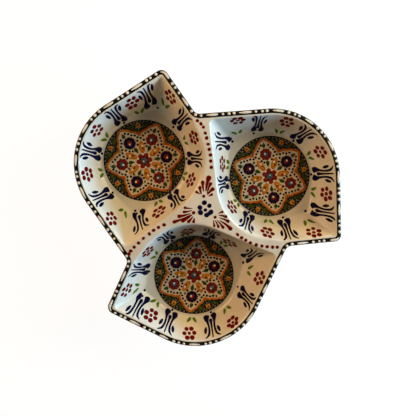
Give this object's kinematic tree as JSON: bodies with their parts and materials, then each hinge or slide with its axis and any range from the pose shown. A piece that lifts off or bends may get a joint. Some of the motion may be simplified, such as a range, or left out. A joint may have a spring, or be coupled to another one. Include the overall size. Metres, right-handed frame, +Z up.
{
  "type": "divided serving bowl",
  "caption": "Divided serving bowl of glazed earthenware: lobed wells parted by flat ridges in a pinwheel outline, with relief enamel on rim, ridges and floors.",
  "frame": {"origin": "on the table, below the middle of the outline's box", "axes": "+Z up; +X to the right and +Y away from the viewer in the picture, which looks down into the bowl"},
  "size_m": [0.2496, 0.2588, 0.0429],
  "materials": {
    "glazed_casting": "glossy",
    "bare_clay": "matte",
    "black_enamel": "glossy",
    "white_enamel": "glossy",
    "red_enamel": "glossy",
    "navy_enamel": "glossy",
    "cream_enamel": "glossy",
    "orange_enamel": "glossy",
    "amber_enamel": "glossy",
    "green_enamel": "glossy",
    "blue_enamel": "glossy"
  },
  "bodies": {
    "root": {"clay_body": "glazed_casting", "foot_ring_right": "bare_clay", "foot_ring_left": "bare_clay", "foot_ring_front": "bare_clay", "rim_band": "black_enamel", "rim_beads": "white_enamel", "ridge_dots": "red_enamel", "centre_sprays": "red_enamel", "centre_rosette": "navy_enamel", "ground_right": "black_enamel", "ground_left": "black_enamel", "ground_front": "black_enamel", "star_field_right": "cream_enamel", "star_field_left": "cream_enamel", "star_field_front": "cream_enamel", "star_line_right": "orange_enamel", "star_line_left": "orange_enamel", "star_line_front": "orange_enamel", "red_flowers_right": "red_enamel", "red_flowers_left": "red_enamel", "red_flowers_front": "red_enamel", "navy_flowers_right": "navy_enamel", "navy_flowers_left": "navy_enamel", "navy_flowers_front": "navy_enamel", "almond_petals_right": "amber_enamel", "almond_petals_left": "amber_enamel", "almond_petals_front": "amber_enamel", "leaves_right": "green_enamel", "leaves_left": "green_enamel", "leaves_front": "green_enamel", "bosses_right": "blue_enamel", "bosses_left": "blue_enamel", "bosses_front": "blue_enamel"}
  },
  "joints": []
}
